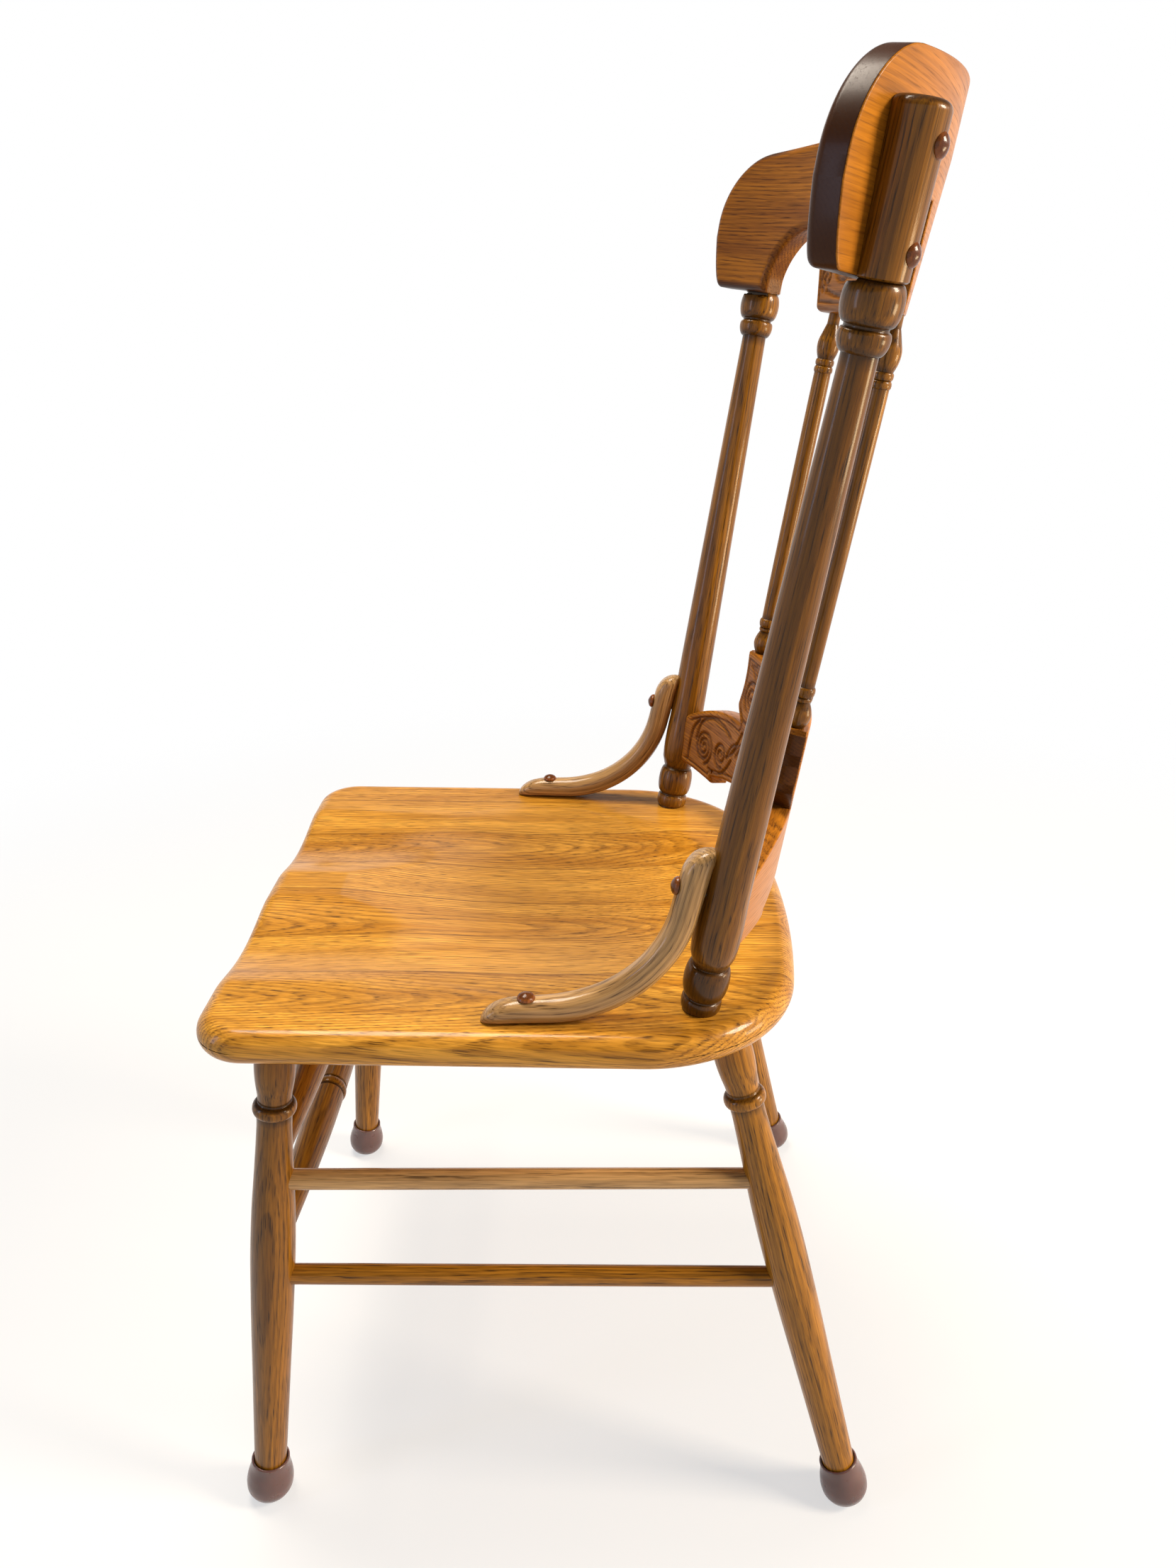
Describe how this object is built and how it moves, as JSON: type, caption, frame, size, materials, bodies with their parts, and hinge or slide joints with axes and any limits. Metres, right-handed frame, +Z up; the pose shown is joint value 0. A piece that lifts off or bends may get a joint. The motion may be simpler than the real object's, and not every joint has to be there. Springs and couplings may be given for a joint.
{
  "type": "spindle back dining chair",
  "caption": "Oak side chair with a saddled plank seat, turned splayed legs and stretchers, a bowed pressed crest, spindles, a shaped lower rail and bent hip braces.",
  "frame": {"origin": "on the floor, under the middle of the chair's bounding box", "axes": "+Z up, the front of the chair faces -Y, the sitter's left hand is on +X"},
  "size_m": [0.4978, 0.5274, 1.0097],
  "materials": {
    "oak_seat": "gloss lacquer on amber oak",
    "oak_turned": "gloss lacquer on brown oak",
    "oak_pressed": "gloss lacquer on orange brown oak",
    "oak_bent": "gloss lacquer on pale grey brown oak",
    "oak_button": "gloss lacquer on reddish oak",
    "screw_steel": "zinc plated",
    "silicone": "satin, slightly translucent mauve grey"
  },
  "bodies": {
    "root": {"back_post_left": "oak_turned", "back_post_right": "oak_turned", "brace_buttons": "oak_button", "brace_screws": "screw_steel", "crest_buttons": "oak_button", "crest_rail": "oak_pressed", "crest_screws": "screw_steel", "foot_cap_front_left": "silicone", "foot_cap_front_right": "silicone", "foot_cap_rear_left": "silicone", "foot_cap_rear_right": "silicone", "front_leg_left": "oak_turned", "front_leg_right": "oak_turned", "front_stretcher_lower": "oak_turned", "front_stretcher_upper": "oak_turned", "hip_brace_left": "oak_bent", "hip_brace_right": "oak_bent", "lower_rail": "oak_pressed", "rear_leg_left": "oak_turned", "rear_leg_right": "oak_turned", "rear_stretcher": "oak_turned", "seat_board_1": "oak_seat", "seat_board_2": "oak_seat", "seat_board_3": "oak_seat", "seat_board_4": "oak_seat", "seat_board_5": "oak_seat", "seat_board_6": "oak_seat", "seat_board_7": "oak_seat", "side_stretcher_lower_left": "oak_turned", "side_stretcher_lower_right": "oak_turned", "side_stretcher_upper_left": "oak_bent", "side_stretcher_upper_right": "oak_bent", "spindle_1": "oak_turned", "spindle_2": "oak_turned", "spindle_3": "oak_turned", "spindle_4": "oak_turned", "spindle_5": "oak_turned"}
  },
  "joints": []
}
